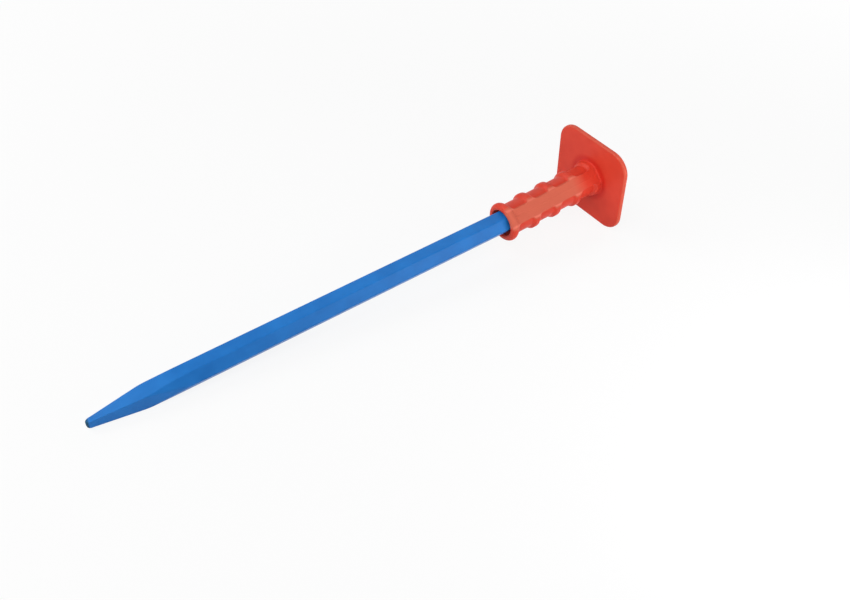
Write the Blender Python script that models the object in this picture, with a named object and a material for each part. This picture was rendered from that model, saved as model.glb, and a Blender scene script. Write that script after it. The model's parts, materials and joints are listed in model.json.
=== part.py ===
"""A masonry point chisel: a forged hexagonal steel bar and the moulded hand guard pushed onto it.

The bar has a four-sided blunt point at one end and a chamfered struck face at the other.
The guard is one soft plastic moulding: a grip with a rolled lip and four finger grooves on
each side, which flares into a square plate that shields the hand from the hammer.

Both pieces are made along +X, from the point at X = 0 to the struck face. The guard is made
from its mouth. Then the tool is laid down as it rests: on its point and on the plate's lower
edge, with Z = 0 on the surface below it and the origin at the middle of its footprint.
Lengths are in metres.
"""

from math import asin, atan2, cos, pi, radians, sin, sqrt, tan

import bmesh
import bpy
from mathutils import Matrix, Vector

# Bar
BAR_LENGTH = 0.500
ACROSS_FLATS = 0.018
BAR_EDGE_ROUND = 0.0008
HEAD_CHAMFER = 0.0022

# The bar and the bore that grips it sit turned this far against the plate's edges
BAR_TURN = radians(4)

# Point: the height and width that its faces taper to, how far from its end each pair of faces
# runs out, how long the domed end is, and the share of its section that stays flat
POINT_HEIGHT = 0.0064
POINT_WIDTH = 0.0036
FLAT_TAPER = 0.0675
CORNER_TAPER = 0.0785
POINT_DOME = 0.0038
POINT_FLAT_SHARE = 0.35

# Guard, along the bar
HEAD_STANDS_OUT = 0.0182
PLATE_THICKNESS = 0.0042
LIP_BEAD_RADIUS = 0.0036
GROOVE_COUNT = 4
GROOVE_PITCH = 0.0242
RIDGE_TOP = 0.0032
GROOVE_FLANK = 0.0033
GROOVE_CORNER = 0.005
GROOVE_TO_PLATE = 0.0038
FLARE_LENGTH = 0.0016
FLARE_HEIGHT = 0.0013

# The soft guard bends about the bar that hangs in it: its mouth droops below the bar, and
# its plate is pushed up by the surface it rests on
MOUTH_DROOP = 0.001
PLATE_LIFT = 0.0034
MOUTH_SLOPE = 0.027

# Guard, across the bar
BORE_CLEARANCE = 0.0003
LEAD_IN_STEP = 0.0015
LEAD_IN_DEPTH = 0.012
GRIP_WALL = 0.003
THINNEST_WALL = 0.0016
GROOVE_DEPTH = 0.0024
BAND_STEP = 0.0006
LIP_STEP = 0.0012
BAND_WIDTH = 0.0128
BAND_WALL = 0.0014
PLATE_SIDE = 0.082
PLATE_CORNER = 0.018
PLATE_RIM_ROUND = 0.0015

# What follows from them
BAR_CORNER = ACROSS_FLATS / 2 / cos(pi / 6)
BORE_FLATS = ACROSS_FLATS + 2 * BORE_CLEARANCE
BORE_CORNER = BORE_FLATS / 2 / cos(pi / 6)
FLOOR_RADIUS = BORE_CORNER + GRIP_WALL
RIDGE_RADIUS = FLOOR_RADIUS + GROOVE_DEPTH
BAND_REACH = FLOOR_RADIUS + BAND_STEP
LIP_RADIUS = RIDGE_RADIUS + LIP_STEP
LIP_CENTRE = LIP_RADIUS - LIP_BEAD_RADIUS
GRIP_START = LIP_BEAD_RADIUS + sqrt(LIP_BEAD_RADIUS**2 - (RIDGE_RADIUS - LIP_CENTRE) ** 2)
GROOVE_LENGTH = GROOVE_PITCH - RIDGE_TOP
GRIP_END = GRIP_START + (GROOVE_COUNT - 1) * GROOVE_PITCH + GROOVE_LENGTH
PLATE_FRONT = GRIP_END + GROOVE_TO_PLATE
FLARE_START = PLATE_FRONT - FLARE_LENGTH
GUARD_LENGTH = PLATE_FRONT + PLATE_THICKNESS
MOUTH = BAR_LENGTH - HEAD_STANDS_OUT - GUARD_LENGTH

# Fineness of the meshes
BAR_EDGE_STEPS = 2
POINT_STEPS = 4
CHAMFER_STEPS = 1
LEAD_IN_AROUND = 48
AROUND = 60
BEAD_STEPS = 6
FLANK_STEPS = 3
FLARE_STEPS = 5
RIM_STEPS = 3

BAND_ANGLE = radians(135)
SHARP_ANGLE = radians(35)
CUT_MARGIN = 0.004
MERGE = 0.000001
SETTLING_ROUNDS = 10


def clear_scene():
    for obj in list(bpy.data.objects):
        bpy.data.objects.remove(obj)


def make_material(name, colour, roughness, metallic):
    material = bpy.data.materials.new(name)
    material.use_nodes = True
    shader = material.node_tree.nodes["Principled BSDF"]
    shader.inputs["Base Color"].default_value = (*colour, 1)
    shader.inputs["Roughness"].default_value = roughness
    shader.inputs["Metallic"].default_value = metallic
    return material


def make_object(name, shape, material=None):
    bmesh.ops.recalc_face_normals(shape, faces=shape.faces[:])
    mesh = bpy.data.meshes.new(name)
    shape.to_mesh(mesh)
    shape.free()
    obj = bpy.data.objects.new(name, mesh)
    bpy.context.scene.collection.objects.link(obj)
    if material:
        mesh.materials.append(material)
        mesh.shade_smooth()
        mesh.set_sharp_from_angle(angle=SHARP_ANGLE)
    return obj


def hexagonal_prism(corner_radius, start, end):
    """A prism along X, with corners on its two sides and flats facing up and down."""
    shape = bmesh.new()
    bmesh.ops.create_cone(
        shape,
        cap_ends=True,
        segments=6,
        radius1=corner_radius,
        radius2=corner_radius,
        depth=end - start,
    )
    turn = Matrix.Rotation(radians(90), 4, "Y")
    middle = Matrix.Translation(((start + end) / 2, 0, 0))
    bmesh.ops.transform(shape, matrix=middle @ turn, verts=shape.verts)
    return shape


def cut_away(shape, point, normal):
    """Removes what lies beyond a plane, and closes the cut."""
    everything = shape.verts[:] + shape.edges[:] + shape.faces[:]
    cut = bmesh.ops.bisect_plane(
        shape, geom=everything, dist=MERGE, plane_co=point, plane_no=normal, clear_outer=True
    )
    edges = [item for item in cut["geom_cut"] if isinstance(item, bmesh.types.BMEdge)]
    bmesh.ops.contextual_create(shape, geom=edges)


def edges_on_end(shape, place):
    """The edges that lie in the end face at this place along the bar."""
    return [
        edge
        for edge in shape.edges
        if all(abs(corner.co.x - place) < MERGE for corner in edge.verts)
    ]


def round_edges(shape, edges, width, segments):
    bmesh.ops.bevel(
        shape,
        geom=edges,
        offset=width,
        offset_type="OFFSET",
        segments=segments,
        profile=0.5,
        affect="EDGES",
        material=-1,
        clamp_overlap=True,
    )


def dome_point(shape):
    """Cuts the point's end off square and grows it again in rings that close to a dome."""
    cut_away(shape, (POINT_DOME, 0, 0), (-1, 0, 0))
    end = min(shape.faces, key=lambda face: face.calc_center_median().x)
    share = 1
    for step in range(1, POINT_STEPS + 1):
        turn = pi / 2 * step / POINT_STEPS
        narrower = (POINT_FLAT_SHARE + (1 - POINT_FLAT_SHARE) * cos(turn)) / share
        end = bmesh.ops.extrude_discrete_faces(shape, faces=[end])["faces"][0]
        for corner in end.verts:
            corner.co.x = POINT_DOME * (1 - sin(turn))
            corner.co.yz = corner.co.yz * narrower
        share *= narrower


def build_bar(material):
    shape = hexagonal_prism(BAR_CORNER, 0, BAR_LENGTH)
    long_edges = [edge for edge in shape.edges if edge.calc_length() > BAR_LENGTH / 2]
    round_edges(shape, long_edges, BAR_EDGE_ROUND, BAR_EDGE_STEPS)
    flat_slope = (ACROSS_FLATS - POINT_HEIGHT) / 2 / FLAT_TAPER
    corner_slope = (BAR_CORNER - POINT_WIDTH / 2) / CORNER_TAPER
    for side in (1, -1):
        cut_away(shape, (0, 0, side * POINT_HEIGHT / 2), (-flat_slope, 0, side))
        cut_away(shape, (0, side * POINT_WIDTH / 2, 0), (-corner_slope, side, 0))
    dome_point(shape)
    round_edges(shape, edges_on_end(shape, BAR_LENGTH), HEAD_CHAMFER, CHAMFER_STEPS)
    bmesh.ops.rotate(shape, verts=shape.verts, matrix=Matrix.Rotation(BAR_TURN, 3, "X"))
    return make_object("chisel_bar", shape, material)


def ease(value, low, high):
    """0 below low, 1 above high, and a smooth rise between them."""
    share = min(1, max(0, (value - low) / (high - low)))
    return share * share * (3 - 2 * share)


def groove_ends():
    """Where each finger groove starts and ends at the ridges' height, from the mouth."""
    starts = [GRIP_START + index * GROOVE_PITCH for index in range(GROOVE_COUNT)]
    return [(start, start + GROOVE_LENGTH) for start in starts]


def lift(x):
    """How far the guard's cross-section sits above the bar's axis at this distance."""
    share = x / GUARD_LENGTH
    bend = PLATE_LIFT + MOUTH_DROOP - MOUTH_SLOPE * GUARD_LENGTH
    return -MOUTH_DROOP + MOUTH_SLOPE * x + bend * share**2


def lean(x):
    """The slope of that lift, by which the cross-section leans back."""
    bend = PLATE_LIFT + MOUTH_DROOP - MOUTH_SLOPE * GUARD_LENGTH
    return MOUTH_SLOPE + 2 * bend * x / GUARD_LENGTH**2


def flare(x):
    """How far the grip has widened towards the plate: a quarter of an ellipse."""
    share = min(1, max(0, (x - FLARE_START) / (PLATE_FRONT - FLARE_START)))
    return FLARE_HEIGHT * (1 - sqrt(1 - share * share))


def bead(x):
    """The rolled lip's radius at this distance from the mouth."""
    reach = LIP_BEAD_RADIUS**2 - (x - LIP_BEAD_RADIUS) ** 2
    return LIP_CENTRE + sqrt(max(0, reach)) if 0 <= x <= 2 * LIP_BEAD_RADIUS else 0


def groove_depth(x, from_band):
    """How fully a finger groove is sunk here, 0 to 1. Its corners beside the band are round."""
    to_corner = min(1, max(0, 1 - from_band / GROOVE_CORNER))
    drawn_in = GROOVE_CORNER * (1 - sqrt(1 - to_corner**2))
    depth = 0
    for start, end in groove_ends():
        start += drawn_in
        end -= drawn_in
        depth += ease(x, start, start + GROOVE_FLANK) * (1 - ease(x, end - GROOVE_FLANK, end))
    return depth


def grip_radius(x, angle):
    """The grip's outer radius: round ridges, two flat bands, and grooves between the bands."""
    from_band = abs(cos(angle - BAND_ANGLE))
    round_part = RIDGE_RADIUS + flare(x)
    flat_part = (BAND_REACH + flare(x)) / max(from_band, MERGE)
    outer = max(min(round_part, flat_part), bead(x))
    beside_band = outer * sqrt(1 - min(1, from_band) ** 2)
    groove = ease(beside_band, BAND_WIDTH / 2, BAND_WIDTH / 2 + BAND_WALL)
    deep = groove_depth(x, beside_band - BAND_WIDTH / 2)
    thinnest = BORE_CORNER + THINNEST_WALL - lift(x) * sin(angle)
    return outer - groove * deep * max(0, outer - max(FLOOR_RADIUS, thinnest))


def plate_reach(angle, inset=0):
    """The distance from the axis to the square plate's rounded outline, in this direction."""
    turned = (angle + pi / 4) % (pi / 2) - pi / 4
    half = PLATE_SIDE / 2 - inset
    corner = PLATE_CORNER - inset
    straight = half - corner
    if abs(tan(turned)) * half <= straight:
        return half / cos(turned)
    middle = straight * sqrt(2)
    off_middle = pi / 4 - abs(turned)
    return middle * cos(off_middle) + sqrt(corner**2 - (middle * sin(off_middle)) ** 2)


def grip_places():
    """Distances from the mouth at which the grip's outline needs a ring of points."""
    bead_end = pi / 2 + asin((GRIP_START - LIP_BEAD_RADIUS) / LIP_BEAD_RADIUS)
    places = [
        LIP_BEAD_RADIUS * (1 - cos(bead_end * step / BEAD_STEPS)) for step in range(BEAD_STEPS + 1)
    ]
    for start, end in groove_ends():
        for step in range(FLANK_STEPS + 1):
            places.append(start + GROOVE_FLANK * step / FLANK_STEPS)
            places.append(end - GROOVE_FLANK * step / FLANK_STEPS)
    for step in range(1, FLARE_STEPS + 1):
        share = sin(pi / 2 * step / FLARE_STEPS)
        places.append(PLATE_FRONT - FLARE_LENGTH * (1 - share))
    return sorted({round(place, 7) for place in places})


def grip_ring(x):
    return x, lambda angle: grip_radius(x, angle)


def plate_face_ring(x):
    """A ring half way between the flare's foot and the plate's rim."""
    return x, lambda angle: (grip_radius(x, angle) + plate_reach(angle, PLATE_RIM_ROUND)) / 2


def rim_ring(face, inwards, turn):
    """A ring on the rounded edge of one of the plate's faces, this far round it."""
    x = face + inwards * PLATE_RIM_ROUND * (1 - cos(turn))
    inset = PLATE_RIM_ROUND * (1 - sin(turn))
    return x, lambda angle: plate_reach(angle, inset)


def guard_rings():
    """The rings of the guard's skin: each one's distance from the mouth, and its outline."""
    turns = [pi / 2 * step / RIM_STEPS for step in range(RIM_STEPS + 1)]
    rings = [grip_ring(x) for x in grip_places()]
    rings.append(plate_face_ring(PLATE_FRONT))
    rings += [rim_ring(PLATE_FRONT, 1, turn) for turn in turns]
    rings += [rim_ring(GUARD_LENGTH, -1, turn) for turn in reversed(turns)]
    return rings


def bend(shape):
    """Lifts and leans each cross-section of the guard's skin."""
    for corner in shape.verts:
        x, side, height = corner.co
        corner.co = Vector((x - lean(x) * height, side, height + lift(x)))


def build_guard_skin():
    """The guard as a solid body: a rod of rings, each moved out to the outline it follows."""
    shape = bmesh.new()
    made = bmesh.ops.create_circle(shape, cap_ends=True, segments=AROUND, radius=LIP_CENTRE)
    bmesh.ops.rotate(shape, verts=made["verts"], matrix=Matrix.Rotation(radians(90), 3, "Y"))
    front = shape.faces[:]
    bmesh.ops.reverse_faces(shape, faces=front)
    loop = front[0].edges[:]
    for x, radius in guard_rings():
        grown = bmesh.ops.extrude_edge_only(shape, edges=loop)["geom"]
        loop = [item for item in grown if isinstance(item, bmesh.types.BMEdge)]
        for corner in {corner for edge in loop for corner in edge.verts}:
            angle = atan2(corner.co.z, corner.co.y)
            reach = radius(angle)
            corner.co = Vector((x, reach * cos(angle), reach * sin(angle)))
    bmesh.ops.contextual_create(shape, geom=loop)
    bmesh.ops.remove_doubles(shape, verts=shape.verts, dist=MERGE)
    bend(shape)
    return shape


def add_cutter(name, shape, target):
    cutter = make_object(name, shape)
    cutter.hide_render = True
    cutter.display_type = "WIRE"
    cut = target.modifiers.new(name, "BOOLEAN")
    cut.operation = "DIFFERENCE"
    cut.solver = "EXACT"
    cut.object = cutter
    return cutter


def build_bore(guard):
    """The hexagonal bore through the guard, turned with the bar."""
    shape = hexagonal_prism(BORE_CORNER, -CUT_MARGIN, GUARD_LENGTH + CUT_MARGIN)
    bmesh.ops.rotate(shape, verts=shape.verts, matrix=Matrix.Rotation(BAR_TURN, 3, "X"))
    return add_cutter("bore_cutter", shape, guard)


def build_lead_in(guard):
    """The round mouth, drooping with the lip, that narrows to the bore's flats."""
    mouth_radius = BORE_CORNER + LEAD_IN_STEP
    slope = (mouth_radius - BORE_FLATS / 2) / LEAD_IN_DEPTH
    droop = Matrix.Identity(4)
    droop[2][0] = MOUTH_DROOP / LEAD_IN_DEPTH
    droop[2][3] = -MOUTH_DROOP
    shape = bmesh.new()
    bmesh.ops.create_cone(
        shape,
        cap_ends=True,
        segments=LEAD_IN_AROUND,
        radius1=mouth_radius + slope * CUT_MARGIN,
        radius2=BORE_FLATS / 2 - slope * CUT_MARGIN,
        depth=LEAD_IN_DEPTH + 2 * CUT_MARGIN,
    )
    turn = Matrix.Rotation(radians(90), 4, "Y")
    middle = Matrix.Translation((LEAD_IN_DEPTH / 2, 0, 0))
    bmesh.ops.transform(shape, matrix=droop @ middle @ turn, verts=shape.verts)
    return add_cutter("lead_in_cutter", shape, guard)


def resting_tilt(bar, guard):
    """The turn about Y that brings the point and the plate's lower edge onto one surface."""
    below_bar = [corner.co for corner in bar.data.vertices]
    below_guard = [corner.co + Vector((MOUTH, 0, 0)) for corner in guard.data.vertices]
    tilt = 0
    for _ in range(SETTLING_ROUNDS):
        turn = Matrix.Rotation(tilt, 3, "Y")
        point = min(below_bar, key=lambda place: (turn @ place).z)
        edge = min(below_guard, key=lambda place: (turn @ place).z)
        tilt = -atan2(point.z - edge.z, edge.x - point.x)
    return tilt


def footprint(pieces):
    """The lowest and highest corners of the whole tool, as placed."""
    places = [
        piece.matrix_world @ corner.co for piece in pieces for corner in piece.data.vertices
    ]
    low = Vector([min(place[axis] for place in places) for axis in range(3)])
    high = Vector([max(place[axis] for place in places) for axis in range(3)])
    return low, high


def say(what, place):
    print(what, " ".join(f"{value:.6f}" for value in place))


def main():
    clear_scene()
    blue_paint = make_material("blue_paint", (0.024, 0.19, 0.55), 0.3, 0.0)
    red_plastic = make_material("red_plastic", (0.62, 0.045, 0.025), 0.5, 0.0)

    bar = build_bar(blue_paint)
    guard = make_object("hand_guard", build_guard_skin(), red_plastic)
    cutters = [build_bore(guard), build_lead_in(guard)]

    tool = bpy.data.objects.new("tool_axis", None)
    bpy.context.scene.collection.objects.link(tool)
    for piece in (bar, guard):
        piece.parent = tool
    for cutter in cutters:
        cutter.parent = guard
    guard.location.x = MOUTH
    tool.rotation_euler.y = resting_tilt(bar, guard)
    bpy.context.view_layer.update()
    low, high = footprint((bar, guard))
    tool.location = -Vector(((low.x + high.x) / 2, (low.y + high.y) / 2, low.z))
    bpy.context.view_layer.update()

    placed = tool.matrix_world
    direction = placed.to_3x3()
    say("tool axis", direction @ Vector((1, 0, 0)))
    say("struck face", placed @ Vector((BAR_LENGTH, 0, 0)))
    say("point's end", placed @ Vector((0, 0, 0)))
    say("guard travel down and up", (CORNER_TAPER - MOUTH, GUARD_LENGTH + HEAD_STANDS_OUT))


main()
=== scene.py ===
# %% [markdown]
# # A masonry chisel and its hand guard
# The real tool is two pieces: a hexagonal steel bar, forged to a blunt point and coated in
# blue enamel, and one soft red plastic moulding that is pushed onto it. The moulding is a
# finger-grooved grip that widens into a square plate, which keeps the hammer off the hand.
# This lesson models each piece finely over its CAD solid, gives it its finish, and lights
# the tool like a product photograph. The imported CAD model comes first, because the bar's
# place is read from its record and the finished tool is compared with its box at the end.

# %% Load the imported model
import json
from math import atan2, cos, degrees, pi, radians, sin, sqrt, tan

import bmesh
import bpy
from mathutils import Matrix, Vector


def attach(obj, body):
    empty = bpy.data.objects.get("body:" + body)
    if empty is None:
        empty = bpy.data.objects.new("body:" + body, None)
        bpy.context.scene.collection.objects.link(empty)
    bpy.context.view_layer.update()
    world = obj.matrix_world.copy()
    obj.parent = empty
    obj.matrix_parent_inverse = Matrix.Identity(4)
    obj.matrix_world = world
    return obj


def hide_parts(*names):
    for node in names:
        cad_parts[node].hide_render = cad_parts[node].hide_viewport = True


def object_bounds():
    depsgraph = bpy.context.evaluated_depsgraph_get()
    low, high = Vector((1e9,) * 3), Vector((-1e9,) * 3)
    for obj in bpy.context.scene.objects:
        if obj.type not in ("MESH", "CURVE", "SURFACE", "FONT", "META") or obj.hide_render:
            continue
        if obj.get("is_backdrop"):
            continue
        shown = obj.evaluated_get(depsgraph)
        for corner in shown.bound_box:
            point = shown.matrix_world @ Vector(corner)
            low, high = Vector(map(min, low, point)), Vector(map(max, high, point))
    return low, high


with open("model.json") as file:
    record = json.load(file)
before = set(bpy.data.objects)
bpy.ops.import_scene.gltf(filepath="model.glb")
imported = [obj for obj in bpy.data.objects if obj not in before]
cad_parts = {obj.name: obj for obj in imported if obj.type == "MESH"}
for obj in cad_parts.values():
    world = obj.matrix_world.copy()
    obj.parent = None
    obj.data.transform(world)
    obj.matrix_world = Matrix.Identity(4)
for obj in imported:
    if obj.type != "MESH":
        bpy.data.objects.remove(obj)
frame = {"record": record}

cad_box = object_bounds()
print("CAD box", *(round(value, 4) for corner in cad_box for value in corner))

# %% [markdown]
# ## The tool's own axes
# The tool lies on its point and on the plate's lower edge, so its bar leans a little. Each
# piece is easier to describe along the bar, so it is made on straight axes first: X from
# the point to the struck face, Y to the far side and Z up. One matrix then lays it down.
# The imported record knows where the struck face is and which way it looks, and that is all
# the matrix needs.

# %% Read the bar's place from the record
MM = 0.001
BAR_LENGTH = 500 * MM
struck_face = frame["record"]["mounts"][0]
along_bar = Vector(struck_face["axis"]).normalized()
across_bar = Vector((0, 1, 0))
above_bar = along_bar.cross(across_bar)
point_end = Vector(struck_face["pos_m"]) - along_bar * BAR_LENGTH
tool_turn = Matrix((along_bar, across_bar, above_bar)).transposed().to_4x4()
lay_down = Matrix.Translation(point_end) @ tool_turn
print("the bar leans", round(degrees(atan2(along_bar.z, along_bar.x)), 2), "degrees")


# %% [markdown]
# ## Growing a shape ring by ring
# Both pieces are long and change their cross-section all the way along. A lathe's spin
# can't make them, because a hexagon and a grip with grooves aren't round. A loft can: one
# circle of points is extruded again and again, and each new ring is moved out to the
# outline that the piece has there. The outline is a function of the place along the axis
# and of the angle round it, so the shape lives in a few lines of arithmetic. Each point
# keeps its angle in a layer, which the extrusion copies to the next ring.

# %% Grow rings from a circle
def start_ring(around, ring):
    """A filled circle of points round the X axis, moved out to its first ring."""
    shape = bmesh.new()
    angles = shape.verts.layers.float.new("angle")
    bmesh.ops.create_circle(shape, cap_ends=True, segments=around, radius=1)
    for corner in shape.verts:
        corner[angles] = atan2(corner.co.x, corner.co.y)
        corner.co = ring(corner[angles])
    return shape, list(shape.faces[:][0].edges)


def grow(shape, loop, rings):
    """Extrudes the loop once for each ring. A ring turns an angle into a place."""
    angles = shape.verts.layers.float["angle"]
    for ring in rings:
        grown = bmesh.ops.extrude_edge_only(shape, edges=loop)["geom"]
        for corner in grown:
            if isinstance(corner, bmesh.types.BMVert):
                corner.co = ring(corner[angles])
        loop = [edge for edge in grown if isinstance(edge, bmesh.types.BMEdge)]
    return loop


def polar(x, reach, angle):
    return Vector((x, reach * cos(angle), reach * sin(angle)))


# %% [markdown]
# A grown piece becomes an object through one helper. Its faces are turned outwards, its
# mesh is laid down in the world, and its object stays at the origin, so a pattern that
# reads Object coordinates never slides. Soft shading stops at edges sharper than 40 degrees.

# %% Finish a piece
SHARP_ANGLE = radians(40)
WELD = 0.002 * MM


def finish_piece(name, shape, material):
    bmesh.ops.remove_doubles(shape, verts=shape.verts, dist=WELD)
    bmesh.ops.recalc_face_normals(shape, faces=shape.faces)
    bmesh.ops.transform(shape, matrix=lay_down, verts=shape.verts)
    open_edges = sum(1 for edge in shape.edges if len(edge.link_faces) != 2)
    mesh = bpy.data.meshes.new(name)
    shape.to_mesh(mesh)
    shape.free()
    mesh.materials.append(material)
    mesh.shade_smooth()
    mesh.set_sharp_from_angle(angle=SHARP_ANGLE)
    piece = bpy.data.objects.new(name, mesh)
    bpy.context.scene.collection.objects.link(piece)
    mesh.calc_loop_triangles()
    print(name, len(mesh.loop_triangles), "triangles,", open_edges, "open edges")
    return piece


# %% [markdown]
# ## Shader arithmetic
# Masks are sums and products of coordinates and noise. Written as Python expressions they
# read like the sums they are, so a small class wraps a socket and adds a Math node for
# each operator. Everything that isn't arithmetic goes through one method, which adds a
# node from its type, its settings and what its sockets hold.

# %% Wrap a socket
class Wire:
    """An output socket that can be added, multiplied and clipped like a number."""

    def __init__(self, finish, socket):
        self.finish = finish
        self.socket = socket

    def maths(self, operation, *values, clamp=False):
        settings = {"operation": operation, "use_clamp": clamp}
        return self.finish.add("ShaderNodeMath", settings, dict(enumerate(values)))

    def __add__(self, other):
        return self.maths("ADD", self, other)

    def __sub__(self, other):
        return self.maths("SUBTRACT", self, other)

    def __rsub__(self, other):
        return self.maths("SUBTRACT", other, self)

    def __mul__(self, other):
        return self.maths("MULTIPLY", self, other)

    __radd__ = __add__
    __rmul__ = __mul__

    def above(self, low, high):
        """0 below low, 1 above high, and a straight rise between."""
        return self.maths("MULTIPLY_ADD", self, 1 / (high - low), -low / (high - low), clamp=True)

    def size(self):
        return self.maths("ABSOLUTE", self)

    def root(self):
        return self.maths("SQRT", self)

    def larger(self, other):
        return self.maths("MAXIMUM", self, other)


# %% Add any node to a finish
class Finish:
    """A material with one Principled shader, and one method that adds any other node."""

    def __init__(self, name):
        self.material = bpy.data.materials.new(name)
        self.material.use_nodes = True
        self.tree = self.material.node_tree
        self.shader = self.tree.nodes["Principled BSDF"]

    def add(self, kind, settings=None, sockets=None, out=0):
        node = self.tree.nodes.new(kind)
        for key, value in (settings or {}).items():
            setattr(node, key, value)
        for key, value in (sockets or {}).items():
            self.feed(node.inputs[key], value)
        return Wire(self, node.outputs[out])

    def feed(self, socket, value):
        if isinstance(value, Wire):
            self.tree.links.new(value.socket, socket)
        else:
            socket.default_value = value

    def put(self, **values):
        """Feeds the shader's own sockets, named with _ for a space."""
        for socket, value in values.items():
            self.feed(self.shader.inputs[socket.replace("_", " ")], value)

    def noise(self, place, size, detail=2.0, roughness=0.5):
        """Smooth noise whose blotches are about this size in metres."""
        sockets = {"Vector": place, "Scale": 1 / size, "Detail": detail, "Roughness": roughness}
        return self.add("ShaderNodeTexNoise", {}, sockets)

    def mix(self, share, first, second):
        sockets = {0: share, 6: first, 7: second}
        return self.add("ShaderNodeMix", {"data_type": "RGBA"}, sockets, out=2)

    def bump(self, height, depth, under=None):
        sockets = {"Height": height, "Distance": depth, "Strength": 1.0}
        if under:
            sockets["Normal"] = under
        return self.add("ShaderNodeBump", {}, sockets)

    def along_tool(self):
        """Object coordinates turned back onto the tool's own axes, from the point's end."""
        place = self.add("ShaderNodeTexCoord", out="Object")
        back = lay_down.inverted()
        sockets = {"Vector": place, "Location": back.translation, "Rotation": back.to_euler()}
        return self.add("ShaderNodeMapping", {"vector_type": "POINT"}, sockets)

    def parts(self, vector):
        node = self.add("ShaderNodeSeparateXYZ", {}, {"Vector": vector}).socket.node
        return [Wire(self, output) for output in node.outputs]


# %% [markdown]
# ## The bar
# The real bar is rolled hexagonal stock, drawn out hot to a four-sided point under a
# hammer. Its faces are flat, its edges are slightly soft, and the point's faces run out
# into the hexagon without a hard line. Cutting a prism with planes gives hard lines, so
# each section here is a blend of flat sides instead: the reach in a direction is found
# from every side at once with a high power, which is a smooth stand-in for the nearest
# side. Where two sides meet, the power leaves a small round edge by itself. The point isn't
# sharp: its last few millimetres close in a blunt dome with a small flat in its middle.

# %% The bar's sizes
ACROSS_FLATS = 18 * MM
BAR_TURN = radians(4)
CORNER_REACH = ACROSS_FLATS / 2 / cos(pi / 6)
POINT_HEIGHT = 6.4 * MM
POINT_WIDTH = 3.6 * MM
FLAT_TAPER = 67.5 * MM
CORNER_TAPER = 78.5 * MM
POINT_DOME = 3.8 * MM
POINT_FLAT_SHARE = 0.35
HEAD_CHAMFER = 2.2 * MM
EDGE_POWER = 34


def bar_reach(x, angle):
    """The distance from the axis to the bar's surface at this place and angle."""
    height = POINT_HEIGHT / 2 + (ACROSS_FLATS - POINT_HEIGHT) / 2 * x / FLAT_TAPER
    width = POINT_WIDTH / 2 + (CORNER_REACH - POINT_WIDTH / 2) * x / CORNER_TAPER
    sides = [(pi / 2 + side * pi / 3, ACROSS_FLATS / 2) for side in range(6)]
    sides += [(pi / 2, height), (-pi / 2, height), (0, width), (pi, width)]
    total = 0
    for side, distance in sides:
        facing = cos(angle - BAR_TURN - side)
        if facing > 0:
            total += (facing * MM / distance) ** EDGE_POWER
    return MM / total ** (1 / EDGE_POWER)


rounded_off = CORNER_REACH - bar_reach(BAR_LENGTH / 2, BAR_TURN)
print("an edge is rounded off by", round(rounded_off / MM, 3), "mm")


# %% Grow the bar
BAR_AROUND = 192
DOME_STEPS = 12
POINT_STEP, POINT_STEPS = 1.5 * MM, 70
SHANK_START, SHANK_STEP, SHANK_STEPS = 115 * MM, 20 * MM, 18


def bar_ring(x):
    """A ring of the bar, drawn in by the struck face's chamfer."""
    inset = max(0, HEAD_CHAMFER - (BAR_LENGTH - x))
    return lambda angle: polar(x, bar_reach(x, angle) - inset, angle)


def dome_ring(turn):
    """A ring of the blunt dome on the point, this far round its quarter circle."""
    x = POINT_DOME * (1 - sin(turn))
    share = POINT_FLAT_SHARE + (1 - POINT_FLAT_SHARE) * cos(turn)
    return lambda angle: polar(x, bar_reach(POINT_DOME, angle) * share, angle)


dome_rings = [dome_ring(pi / 2 * step / DOME_STEPS) for step in range(DOME_STEPS, 0, -1)]
places = [POINT_DOME + POINT_STEP * step for step in range(POINT_STEPS)]
places += [SHANK_START + SHANK_STEP * step for step in range(SHANK_STEPS)]
places += [BAR_LENGTH - HEAD_CHAMFER - back * MM for back in (1.0, 0.3, 0.05)]
places += [BAR_LENGTH - HEAD_CHAMFER + 0.1 * MM, BAR_LENGTH - 0.15 * MM, BAR_LENGTH]
bar_rings = dome_rings + [bar_ring(x) for x in sorted(places)]
bar_shape, bar_loop = start_ring(BAR_AROUND, bar_rings[0])
bar_loop = grow(bar_shape, bar_loop, bar_rings[1:])
bmesh.ops.contextual_create(bar_shape, geom=bar_loop)
print("the bar is grown from", len(bar_rings), "rings")


# %% [markdown]
# ## The bar's blue enamel
# The bar was coated after forging, and nothing on it was ground clean. The coat is a full
# blue, glossy but not mirror-smooth: it follows the shallow waves that the hammer and the
# rolls left, and it has a fine orange peel of its own. It is thin and dark at the very end
# of the point, where it ran off with a ragged border. Waves and peel are bumps at two
# sizes, and the colour drifts a little in blotches, so that no face of the bar looks
# printed.

# %% Make the enamel
DEEP_BLUE = (0.012, 0.151, 0.488, 1)
LIGHT_BLUE = (0.016, 0.181, 0.557, 1)
THIN_COAT = (0.005, 0.050, 0.085, 1)
BLOTCH_SIZE = 18 * MM
SPECKLE_SIZE = 1.1 * MM
WAVE_SIZE = 26 * MM
WAVE_DEPTH = 0.25 * MM
PEEL_DEPTH = 0.012 * MM
COAT_STARTS, COAT_IS_FULL = 2.6 * MM, 3.8 * MM

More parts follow.
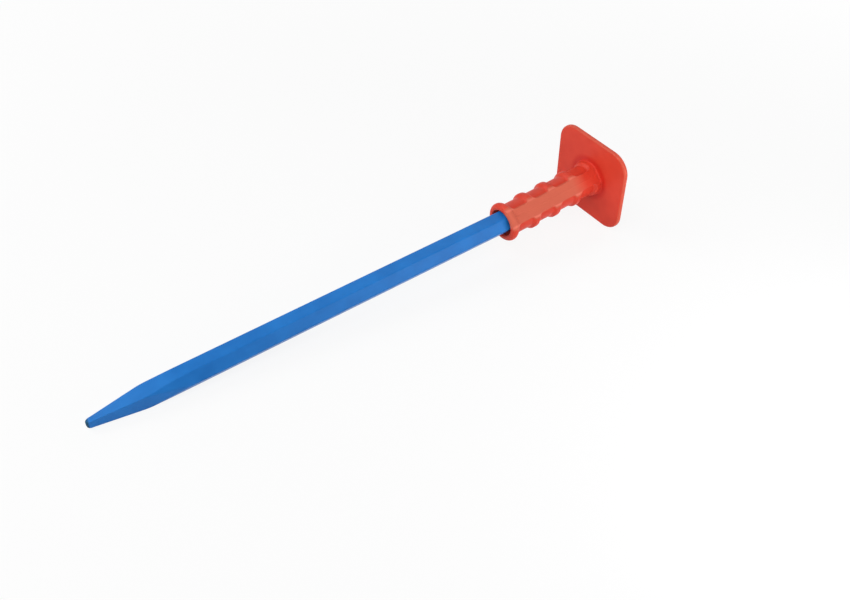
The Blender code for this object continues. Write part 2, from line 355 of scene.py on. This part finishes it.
enamel = Finish("blue_enamel")
enamel.put(Specular_IOR_Level=0.14)
tool_place = enamel.along_tool()
from_point, sideways, upwards = enamel.parts(tool_place)
blotches = enamel.noise(tool_place, BLOTCH_SIZE, detail=3).above(0.3, 0.7)
speckle = enamel.noise(tool_place, SPECKLE_SIZE, detail=2).above(0.3, 0.7)
ragged_end = from_point + 1.6 * MM * (blotches + speckle)
bare_end = 1 - ragged_end.above(COAT_STARTS, COAT_IS_FULL)
blue = enamel.mix(blotches, DEEP_BLUE, LIGHT_BLUE)
enamel.put(Base_Color=enamel.mix(bare_end * 0.95, blue, THIN_COAT))
enamel.put(Roughness=0.30 + 0.08 * blotches + 0.05 * speckle + 0.2 * bare_end)
waves = enamel.bump(enamel.noise(tool_place, WAVE_SIZE, detail=1), WAVE_DEPTH)
enamel.put(Normal=enamel.bump(speckle, PEEL_DEPTH, under=waves))

forged_bar = finish_piece("forged_bar", bar_shape, enamel.material)
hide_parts("chisel_bar")
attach(forged_bar, "bar")


# %% [markdown]
# ## The hand guard
# The guard comes out of its mould in one shot. From the mouth it has a rolled lip, then a
# grip with four finger grooves on each side, then a flare that spreads into the plate. Two
# flat bands run the length of the grip, where the halves of the mould met and left a fine
# raised line, and the grooves stop at them. One outline function holds it all: round
# ridges, flats cut into them for the bands, and grooves that are sunk between the bands.
# A groove's corners are round where it meets a band, and a fillet joins the lip to the
# grip.

# %% The guard's sizes
LIP_BEAD_RADIUS = 3.6 * MM
LIP_FILLET = 1.8 * MM
BEAD_STEEPEST = radians(70)
GROOVE_COUNT = 4
GROOVE_PITCH = 24.2 * MM
GROOVE_LENGTH = 21 * MM
GROOVE_FLANK = 3.3 * MM
GROOVE_CORNER = 5 * MM
GROOVE_TO_PLATE = 3.8 * MM
FLARE_LENGTH = 1.6 * MM
FLARE_HEIGHT = 1.3 * MM
BORE_CLEARANCE = 0.3 * MM
BORE_REACH = ACROSS_FLATS / 2 + BORE_CLEARANCE
BORE_CORNER = BORE_REACH / cos(pi / 6)
LEAD_IN_STEP = 1.5 * MM
LEAD_IN_RADIUS = BORE_CORNER + LEAD_IN_STEP
LEAD_IN_DEPTH = 12 * MM
THINNEST_WALL = 1.6 * MM
GRIP_WALL = 3 * MM
FLOOR_RADIUS = BORE_CORNER + GRIP_WALL
RIDGE_HEIGHT = 2.4 * MM
RIDGE_RADIUS = FLOOR_RADIUS + RIDGE_HEIGHT
BAND_HEIGHT = 0.6 * MM
BAND_REACH = FLOOR_RADIUS + BAND_HEIGHT
BAND_WIDTH = 12.8 * MM
BAND_WALL = 1.4 * MM
BAND_ANGLE = radians(135)
PARTING_HEIGHT = 0.18 * MM
PARTING_WIDTH = 1.2 * MM
LIP_STANDS_OUT = 1.2 * MM
LIP_RADIUS = RIDGE_RADIUS + LIP_STANDS_OUT
LIP_CENTRE = LIP_RADIUS - LIP_BEAD_RADIUS
PLATE_THICKNESS = 4.2 * MM
PLATE_SIDE = 82 * MM
PLATE_CORNER = 18 * MM
PLATE_RIM_ROUND = 1.5 * MM
GRIP_START = LIP_BEAD_RADIUS + sqrt(LIP_BEAD_RADIUS**2 - (RIDGE_RADIUS - LIP_CENTRE) ** 2)
GRIP_END = GRIP_START + (GROOVE_COUNT - 1) * GROOVE_PITCH + GROOVE_LENGTH
PLATE_FRONT = GRIP_END + GROOVE_TO_PLATE
FLARE_START = PLATE_FRONT - FLARE_LENGTH
GUARD_LENGTH = PLATE_FRONT + PLATE_THICKNESS
HEAD_STANDS_OUT = 18.2 * MM
MOUTH = BAR_LENGTH - HEAD_STANDS_OUT - GUARD_LENGTH
MOUTH_DROOP = 1 * MM
MOUTH_SLOPE = 0.027
PLATE_LIFT = 3.4 * MM
BEND = PLATE_LIFT + MOUTH_DROOP - MOUTH_SLOPE * GUARD_LENGTH
print("guard", round(GUARD_LENGTH / MM, 2), "mm long, mouth at", round(MOUTH / MM, 2), "mm")


# %% The grip's outline
def ease(value, low, high):
    """0 below low, 1 above high, and a smooth rise between."""
    share = min(1, max(0, (value - low) / (high - low)))
    return share * share * (3 - 2 * share)


def nearer(first, second, blend=0.5 * MM):
    """The smaller of two lengths, with the corner where they cross rounded over."""
    overlap = max(0, blend - abs(first - second)) / blend
    return min(first, second) - overlap * overlap * blend / 4


def lift(x):
    """How far the bent guard's section sits above the bar's axis."""
    return -MOUTH_DROOP + MOUTH_SLOPE * x + BEND * (x / GUARD_LENGTH) ** 2


def lean(x):
    """The slope of that lift, by which the section leans back."""
    return MOUTH_SLOPE + 2 * BEND * x / GUARD_LENGTH**2


def flare(x):
    """How far the grip's foot spreads as it runs into the plate."""
    share = min(1, max(0, (x - FLARE_START) / (PLATE_FRONT - FLARE_START)))
    return FLARE_HEIGHT * (1 - sqrt(1 - share * share))


def bead(x):
    """The rolled lip: a round bead that ends in a steep straight slope under the grip."""
    slope_start = LIP_BEAD_RADIUS * (1 + sin(BEAD_STEEPEST))
    past = max(0, x - slope_start)
    round_x = min(x, slope_start) - LIP_BEAD_RADIUS
    return LIP_CENTRE + sqrt(LIP_BEAD_RADIUS**2 - round_x**2) - past * tan(BEAD_STEEPEST)


def groove_depth(x, from_band):
    """How fully a finger groove is sunk here, 0 to 1. Its corners beside the band are round."""
    to_corner = min(1, max(0, 1 - from_band / GROOVE_CORNER))
    drawn_in = GROOVE_CORNER * (1 - sqrt(1 - to_corner**2))
    depth = 0
    for groove in range(GROOVE_COUNT):
        start = GRIP_START + groove * GROOVE_PITCH + drawn_in
        end = start + GROOVE_LENGTH - 2 * drawn_in
        depth += ease(x, start, start + GROOVE_FLANK) * (1 - ease(x, end - GROOVE_FLANK, end))
    return depth


def grip_reach(x, angle):
    """The distance from the guard's middle line to its outside, from the lip to the plate."""
    from_band = abs(cos(angle - BAND_ANGLE))
    round_part = RIDGE_RADIUS + flare(x)
    flat_part = (BAND_REACH + flare(x)) / max(from_band, 0.001)
    outer = -nearer(-nearer(round_part, flat_part), -bead(x), LIP_FILLET)
    beside_band = outer * sqrt(1 - min(1, from_band) ** 2)
    sunk = ease(beside_band, BAND_WIDTH / 2, BAND_WIDTH / 2 + BAND_WALL)
    sunk *= groove_depth(x, beside_band - BAND_WIDTH / 2)
    thinnest = BORE_CORNER + THINNEST_WALL - lift(x) * sin(angle)
    line = 1 - ease(beside_band, 0, PARTING_WIDTH / 2)
    line *= PARTING_HEIGHT * ease(x, LIP_BEAD_RADIUS, GRIP_START)
    return outer + line - sunk * max(0, outer - max(FLOOR_RADIUS, thinnest))


def plate_reach(angle, inset):
    """The distance to the square plate's rounded outline, drawn in by the inset."""
    turned = (angle + pi / 4) % (pi / 2) - pi / 4
    half = PLATE_SIDE / 2 - inset
    corner = PLATE_CORNER - inset
    straight = half - corner
    if abs(tan(turned)) * half <= straight:
        return half / cos(turned)
    middle = straight * sqrt(2)
    off_middle = pi / 4 - abs(turned)
    return middle * cos(off_middle) + sqrt(corner**2 - (middle * sin(off_middle)) ** 2)


# %% [markdown]
# The rings are grown in one closed tour: out of the bore at the mouth, round the lip, up
# the grip, across the plate, round its rim, over its back, and home through the bore. The
# last ring lands on the first, and welding them closes the shell without any Boolean cut.
# Real soft plastic gives a little. With the tool lying down and the bar's weight in the
# bore, the plate is pushed up by the table and the mouth hangs down. The bore stays straight
# on its bar, so the bend is applied to the outside rings alone.

# %% Places on the guard
def bent(x, reach, angle):
    """A place on the guard's outside, lifted and leant by the bend."""
    flat = polar(x, reach, angle)
    return Vector((MOUTH + x - lean(x) * flat.z, flat.y, flat.z + lift(x)))


def bore_reach(x, angle):
    """The hexagonal bore, or the round and drooping lead-in where that is wider."""
    turned = (angle - BAR_TURN - pi / 2 + pi / 6) % (pi / 3) - pi / 6
    share = x / LEAD_IN_DEPTH
    radius = LEAD_IN_RADIUS + (BORE_REACH - LEAD_IN_RADIUS) * share
    droop = MOUTH_DROOP * max(0, 1 - share)
    lead_in = sqrt(max(0, radius**2 - (droop * cos(angle)) ** 2)) - droop * sin(angle)
    return max(BORE_REACH / cos(turned), lead_in)


def bore_ring(x):
    return lambda angle: polar(MOUTH + x, bore_reach(x, angle), angle)


def back_edge_ring(wider, depth):
    """A ring of the bore's rounded edge on the plate's leaning back face."""
    def ring(angle):
        flat = polar(0, bore_reach(GUARD_LENGTH, angle) + wider, angle)
        leant = lean(GUARD_LENGTH) * (flat.z - lift(GUARD_LENGTH))
        return Vector((MOUTH + GUARD_LENGTH - depth - leant, flat.y, flat.z))

    return ring


# %% Rings of the lip and the grip
LIP_EDGE = 13 * MM
LIP_EDGE_ROUND = 0.85 * MM
EDGE_STEPS = 6
LIP_STEPS = 12
RING_STEP = 0.62 * MM


def lip_rings():
    """The mouth's small rounded edge, then the front half of the rolled lip."""
    turns = [pi / 2 * step / EDGE_STEPS for step in range(EDGE_STEPS + 1)]
    places = [
        (LIP_EDGE_ROUND * (1 - sin(turn)), LIP_EDGE - LIP_EDGE_ROUND * cos(turn))
        for turn in turns
    ]
    turns = [pi / 2 * step / LIP_STEPS for step in range(LIP_STEPS + 1)]
    places += [
        (LIP_BEAD_RADIUS * (1 - cos(turn)), LIP_CENTRE + LIP_BEAD_RADIUS * sin(turn))
        for turn in turns
    ]
    return [lambda angle, x=x, reach=reach: bent(x, reach, angle) for x, reach in places]


def grip_rings():
    """Even rings up the grip, and closer ones where it meets the plate."""
    count = round((PLATE_FRONT - LIP_BEAD_RADIUS) / RING_STEP)
    places = [LIP_BEAD_RADIUS + RING_STEP * step for step in range(1, count)]
    foot = [PLATE_FRONT - RING_STEP * share for share in (0.8, 0.5, 0.25, 0.1, 0.03, 0)]
    places = [x for x in places if x < foot[0] - RING_STEP / 4] + foot
    return [lambda angle, x=x: bent(x, grip_reach(x, angle), angle) for x in places]


# %% Rings of the plate
FRONT_STEPS = 8


def face_ring(x, share, inner):
    """A ring on one of the plate's faces, this share of the way from its middle to its rim."""
    def ring(angle):
        start, end = inner(angle), plate_reach(angle, PLATE_RIM_ROUND)
        return bent(x, start + (end - start) * share, angle)

    return ring


def rim_ring(face, inwards, turn):
    """A ring on the rim's rounded edge, inwards from the face at this place."""
    x = face + inwards * PLATE_RIM_ROUND * (1 - cos(turn))
    inset = PLATE_RIM_ROUND * (1 - sin(turn))
    return lambda angle: bent(x, plate_reach(angle, inset), angle)


def plate_rings():
    """The plate's front, its rim and its back."""
    foot = RIDGE_RADIUS + FLARE_HEIGHT
    turns = [pi / 2 * step / EDGE_STEPS for step in range(EDGE_STEPS + 1)]
    rings = [
        face_ring(PLATE_FRONT, step / FRONT_STEPS, lambda angle: grip_reach(PLATE_FRONT, angle))
        for step in range(1, FRONT_STEPS)
    ]
    rings += [rim_ring(PLATE_FRONT, 1, turn) for turn in turns]
    rings += [rim_ring(GUARD_LENGTH, -1, turn) for turn in reversed(turns)]
    rings += [face_ring(GUARD_LENGTH, share, lambda angle: foot) for share in (0.7, 0.4, 0.1)]
    return rings


# %% Grow the guard
GUARD_AROUND = 360
EDGE_ROUND = 0.6 * MM

mouth_rings = [bore_ring(place * MM) for place in (12.5, 11, 9, 7, 5, 3.5, 2.4, 1.7)]
home_rings = [
    back_edge_ring(EDGE_ROUND * (1 - sin(turn)), EDGE_ROUND * (1 - cos(turn)))
    for turn in (0, pi / 6, pi / 3, pi / 2)
]
home_rings += [bore_ring(place * MM) for place in (95, 60, 30, 12.5)]
tour = mouth_rings + lip_rings() + grip_rings() + plate_rings() + home_rings
guard_shape, guard_loop = start_ring(GUARD_AROUND, tour[0])
start_face = guard_shape.faces[:]
guard_loop = grow(guard_shape, guard_loop, tour[1:])
bmesh.ops.delete(guard_shape, geom=start_face, context="FACES_ONLY")
print("the guard is grown from", len(tour), "rings")


# %% [markdown]
# ## The guard's red plastic
# The plastic is one deep red all through. What changes is the mould's own surface: the two
# bands and the ridges beside them were spark-textured, so they are matt, while the grooves
# and the plate were polished to a satin. The matt parts also get a painted sheen, a paler red
# in their base colour. Towards the plate the texture and the painted sheen fade out; the
# sheen's fade is painted shade where the plate hides its light. The texture is a fine grain in
# the bump and a higher roughness. Texture and painted sheen are held in place by masks of
# plain geometry: the distance from the band's middle line and from the guard's own middle
# line, once the bend is taken off.
#
# Painted light adds the rest. The ridges' corners beside the bands get painted highlights, and
# the plate's rim a painted highlight that leaves it a little paler than its face. Round the
# grip's foot the plate gets painted shade, a deeper red.

# %% Colours and places of the plastic
DEEP_RED = (0.636, 0.045, 0.023, 1)
LIGHT_RED = (0.676, 0.057, 0.030, 1)
# A deeper red for painted shade round the grip's foot on the plate.
FOOT_SHADE_RED = (0.570, 0.018, 0.010, 1)
# A paler red for the painted sheen on the matt parts and the painted highlight on the plate's rim.
PAINTED_SHEEN_RED = (0.620, 0.122, 0.072, 1)
# A pale red for the painted highlights on the ridges' corners.
CORNER_HIGHLIGHT_RED = (0.800, 0.190, 0.130, 1)
MATT_AND_SHEEN_HALF_ARC = sin(radians(33))
MATT_AND_SHEEN_BORDER = 1.8 * MM
MATT_AND_SHEEN_FADES = PLATE_FRONT - 29 * MM
MATT_AND_SHEEN_ENDS = PLATE_FRONT - 14.5 * MM
HIGHLIGHT_LINE = 7.6 * MM
FOOT_MIDDLE = RIDGE_RADIUS + 2.5 * MM
DRIFT_SIZE = 14 * MM
GRAIN_SIZE = 0.5 * MM
GRAIN_DEPTH = 0.06 * MM

# %% Make the plastic
plastic = Finish("red_plastic")
tool_place = plastic.along_tool()
from_point, sideways, upwards = plastic.parts(tool_place)
from_mouth = from_point - MOUTH
share = from_mouth * (1 / GUARD_LENGTH)
straight_up = upwards + MOUTH_DROOP - MOUTH_SLOPE * from_mouth - BEND * (share * share)
over_band = BAND_ANGLE + pi / 2
from_middle = (sideways * cos(over_band) + straight_up * sin(over_band)).size()
on_band = 1 - from_middle.above(BAND_WIDTH / 2, BAND_WIDTH / 2 + BAND_WALL)
reach = (sideways * sideways + straight_up * straight_up).root()
not_sunk = reach.above(FLOOR_RADIUS + 0.9 * MM, FLOOR_RADIUS + 1.8 * MM)
beside_band = 1 - (from_middle - MATT_AND_SHEEN_HALF_ARC * reach).above(0, MATT_AND_SHEEN_BORDER)
on_grip = 1 - from_mouth.above(MATT_AND_SHEEN_FADES, MATT_AND_SHEEN_ENDS)
# One mask for the real matt texture and for the painted sheen in the colour; both fade towards the plate.
matt_and_painted_sheen = on_band.larger(not_sunk * beside_band) * on_grip
on_ridge = reach.above(RIDGE_RADIUS - 0.5 * MM, RIDGE_RADIUS - 0.15 * MM)
# Painted highlights along the ridges' corners beside the bands.
painted_corner_highlights = (1 - (from_middle - HIGHLIGHT_LINE).size().above(0.3 * MM, 1.6 * MM)) * on_ridge * on_grip
drift = plastic.noise(tool_place, DRIFT_SIZE, detail=2).above(0.3, 0.7)
grain = plastic.noise(tool_place, GRAIN_SIZE, detail=2, roughness=0.6)
red = plastic.mix(drift, DEEP_RED, LIGHT_RED)
past_side = (sideways.size() - (PLATE_SIDE / 2 - PLATE_CORNER)).larger(0)
past_top = (straight_up.size() - (PLATE_SIDE / 2 - PLATE_CORNER)).larger(0)
to_rim = (past_side * past_side + past_top * past_top).root()
# A painted highlight along the plate's rounded rim.
painted_rim_highlight = to_rim.above(PLATE_CORNER - 1.5 * MM, PLATE_CORNER - 0.7 * MM)
by_plate = from_mouth.above(PLATE_FRONT - 3 * MM, PLATE_FRONT - 1 * MM)
by_plate *= 1 - from_mouth.above(PLATE_FRONT + 1 * MM, PLATE_FRONT + 2 * MM)
# Painted shade in the corner where the grip meets the plate's face.
foot = 1 - (reach - FOOT_MIDDLE).size().above(1 * MM, 5 * MM)
red = plastic.mix(foot * by_plate * 0.8, red, FOOT_SHADE_RED)
# The painted sheen on the matt parts and the painted highlight on the plate's rim.
painted_sheen_and_rim = plastic.mix(matt_and_painted_sheen.larger(0.5 * painted_rim_highlight), red, PAINTED_SHEEN_RED)
plastic.put(Base_Color=plastic.mix(painted_corner_highlights * 0.7, painted_sheen_and_rim, CORNER_HIGHLIGHT_RED))
plastic.put(Specular_IOR_Level=0.16)
plastic.put(Roughness=0.40 + 0.22 * matt_and_painted_sheen + 0.05 * drift)
plastic.put(Normal=plastic.bump(grain * (0.2 + 0.8 * matt_and_painted_sheen), GRAIN_DEPTH))

moulded_guard = finish_piece("moulded_guard", guard_shape, plastic.material)
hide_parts("hand_guard")
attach(moulded_guard, "guard")


# %% [markdown]
# ## The studio
# The photograph was taken from in front and above, on white, with light so soft that it
# hardly leaves a shadow. A large floor stands for the table. What the camera and the
# reflections see of it is mostly a white glow and only a little lit surface, so it reads as
# white while the tool keeps its contact shadow. The glow's share grows with the distance
# from the tool until nothing else is left, so the floor runs into the backdrop unseen. The
# lamps' own light meets a plain grey floor, so the tool isn't lit by the glow.

# %% Lay the floor
SEEN_BY = ("Is Camera Ray", "Is Glossy Ray", "Is Transmission Ray")
FLOOR_REACH = 6
NEAR_GLOW = 0.88
GLOW_GROWS, GLOW_IS_FULL = 0.35, 1.1

floor_shape = bmesh.new()
bmesh.ops.create_grid(floor_shape, x_segments=1, y_segments=1, size=FLOOR_REACH)
floor_mesh = bpy.data.meshes.new("floor")
floor_shape.to_mesh(floor_mesh)
floor_shape.free()
floor = bpy.data.objects.new("floor", floor_mesh)
bpy.context.scene.collection.objects.link(floor)
floor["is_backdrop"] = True

white = Finish("white_table")
white.put(Base_Color=(0.8, 0.8, 0.8, 1), Roughness=0.9, Specular_IOR_Level=0.0)
ray = white.add("ShaderNodeLightPath").socket.node.outputs
kinds = [Wire(white, ray[kind]) for kind in SEEN_BY]
seen = kinds[0] + kinds[1] + kinds[2]
glow = white.add("ShaderNodeEmission", {}, {"Color": (1, 1, 1, 1), "Strength": 1.0})
table_top = Wire(white, white.shader.outputs[0])
across, deep, _ = white.parts(white.add("ShaderNodeTexCoord", out="Object"))
away = (across * across + deep * deep).root().above(GLOW_GROWS, GLOW_IS_FULL)
shown = seen * (NEAR_GLOW + (1 - NEAR_GLOW) * away)
face = white.add("ShaderNodeMixShader", {}, {0: shown, 1: table_top, 2: glow})
end_node = white.tree.nodes["Material Output"]
white.tree.links.new(face.socket, end_node.inputs["Surface"])
floor_mesh.materials.append(white.material)

# %% [markdown]
# The room works the same way: it is white to the camera and to reflections, and gives the
# tool only a little light. The rest comes from soft square lamps. The photograph doesn't say
# where its lamps stood, so places and powers here were fitted until the tool's faces came
# out in the photograph's colours, and the strongest ended up at the upper left. The one
# behind the plate lights the side that the photograph doesn't show. The camera doesn't see
# the lamps.

# %% Set up the white room
ROOM_LIGHT = 0.06

world = bpy.data.worlds.new("white_room")
bpy.context.scene.world = world
world.use_nodes = True
sky = world.node_tree.nodes
rays = sky.new("ShaderNodeLightPath").outputs
plain = sky["Background"]
plain.inputs["Color"].default_value = (1, 1, 1, 1)
plain.inputs["Strength"].default_value = ROOM_LIGHT
backdrop = sky.new("ShaderNodeBackground")
backdrop.inputs["Color"].default_value = (1, 1, 1, 1)
backdrop.inputs["Strength"].default_value = 1.0
choose = sky.new("ShaderNodeMixShader")
links = world.node_tree.links
last = rays[SEEN_BY[0]]
for kind in SEEN_BY[1:]:
    total = sky.new("ShaderNodeMath")
    links.new(last, total.inputs[0])
    links.new(rays[kind], total.inputs[1])
    last = total.outputs[0]
links.new(last, choose.inputs[0])
links.new(plain.outputs[0], choose.inputs[1])
links.new(backdrop.outputs[0], choose.inputs[2])
links.new(choose.outputs[0], sky["World Output"].inputs["Surface"])

# %% Place the lamps
LOOKED_AT = Vector((50 * MM, 0, 30 * MM))


def softbox(name, place, power, size):
    """A square area lamp that looks at the tool. Places and sizes are in metres."""
    lamp = bpy.data.lights.new(name, "AREA")
    lamp.shape = "SQUARE"
    lamp.size = size
    lamp.energy = power
    stand = bpy.data.objects.new(name, lamp)
    stand.location = place
    stand.rotation_euler = (LOOKED_AT - Vector(place)).to_track_quat("-Z", "Y").to_euler()
    stand.visible_camera = False
    bpy.context.scene.collection.objects.link(stand)
    print(name, "at", place, "with", power, "W")


softbox("top_left", (-0.55, -0.35, 1.3), 9.6, 0.9)
softbox("back_left", (-0.7, 0.8, 0.9), 8.2, 0.8)
softbox("back_right", (0.6, 0.9, 0.9), 2.0, 0.8)
softbox("behind", (1.3, 0.15, 0.3), 6.0, 0.8)
softbox("low_left", (-0.9, -0.35, 0.25), 1.5, 0.5)
softbox("far_left", (-1.2, 0.1, 0.25), 2.1, 0.5)
softbox("front_grip", (0.3, -0.35, 0.15), 0.6, 0.25)
softbox("front_mouth", (0.12, -0.38, 0.12), 0.37, 0.25)

# %% [markdown]
# ## The camera
# Fitting the bar's outline, the plate's edges and the point's end in the photograph gives
# the camera: about 80 cm from the tool, looking down by 42 degrees, and turned by 41
# degrees from square on to the bar. It is rolled a little as well, so its up direction is
# given along with the way it looks. The lens follows from the width of the photograph and
# the distance of its plane, both in pixels.

# %% Set up the camera
SENSOR_WIDTH = 36
PHOTO_WIDTH = 850
PHOTO_DISTANCE = 962.94

looks_along = Vector((0.49007, 0.55791, -0.66976)).normalized()
leans_up = Vector((0.3582, 0.5721, 0.7378))
to_right = looks_along.cross(leans_up).normalized()
leans_up = to_right.cross(looks_along)
lens = bpy.data.cameras.new("camera")
lens.sensor_width = SENSOR_WIDTH
lens.lens = SENSOR_WIDTH * PHOTO_DISTANCE / PHOTO_WIDTH
camera = bpy.data.objects.new("camera", lens)
camera.location = (-0.35816, -0.46076, 0.53046)
camera.rotation_euler = Matrix((to_right, leans_up, -looks_along)).transposed().to_euler()
bpy.context.scene.collection.objects.link(camera)
bpy.context.scene.camera = camera
bpy.context.scene.view_settings.view_transform = "Standard"
print("lens", round(lens.lens, 2), "mm")

# %% [markdown]
# ## The last look at the size
# The modelled tool is meant to fill the box of the CAD model that it replaces and stay inside
# it. Both boxes are put side by side, and the largest difference between them is printed.

# %% Compare the dressed tool with its CAD box
size = {"cad": [list(corner) for corner in cad_box], "visual": [list(corner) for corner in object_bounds()]}
grown = [abs(a - b) / MM for one, two in zip(size["cad"], size["visual"]) for a, b in zip(one, two)]
print("largest difference from the CAD box", round(max(grown), 3), "mm")
